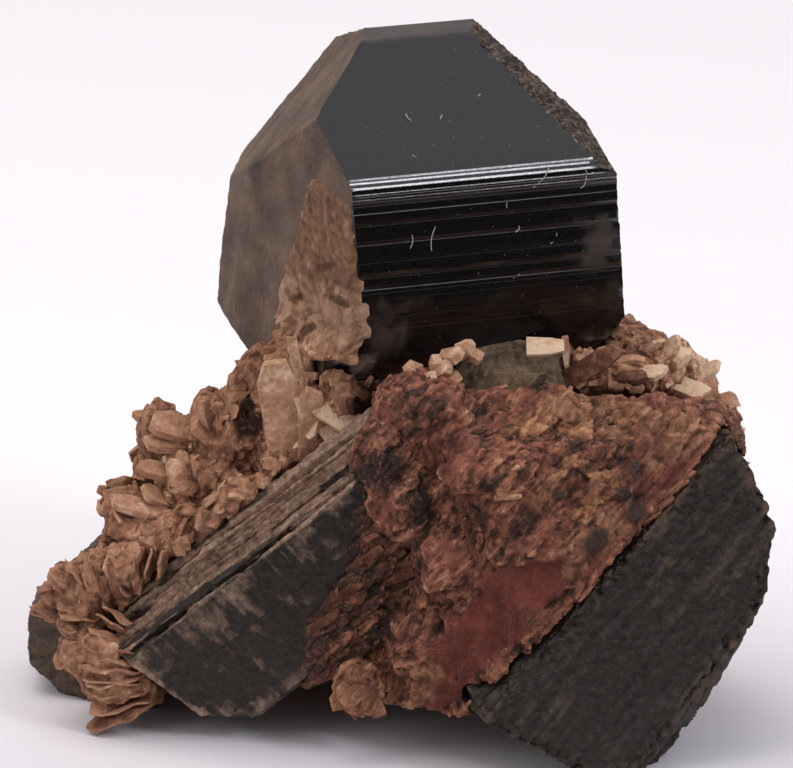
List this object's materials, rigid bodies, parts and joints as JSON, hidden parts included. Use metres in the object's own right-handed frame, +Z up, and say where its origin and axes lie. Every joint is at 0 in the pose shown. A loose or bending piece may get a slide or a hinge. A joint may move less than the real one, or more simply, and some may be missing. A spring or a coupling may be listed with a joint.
{
  "type": "amphibole specimen",
  "caption": "Black striated amphibole crystal standing on a rough matrix of tan bladed and red fractured feldspar, with more amphibole prisms grown through it.",
  "frame": {"origin": "centre of the bounding box at the level of the surface that the specimen rests on", "axes": "+Z up; -Y is the front, the side that shows the lustrous striated prism face; +X to the right as seen from the front, along the specimen's longest extent"},
  "size_m": [0.0448, 0.0344, 0.0415],
  "materials": {
    "black_amphibole": "lustrous striated black crystal, dull where weathered",
    "grey_amphibole": "dull grey weathered crystal face",
    "red_feldspar": "rough fractured mineral, dull with a few glints",
    "tan_feldspar": "rough weathered mineral, matt"
  },
  "bodies": {
    "root": {"main_crystal": "black_amphibole", "front_prism": "black_amphibole", "right_crystal": "black_amphibole", "back_crystal": "black_amphibole", "small_crystal": "black_amphibole", "under_crystal": "grey_amphibole", "red_feldspar": "red_feldspar", "feldspar_matrix": "tan_feldspar"}
  },
  "joints": []
}
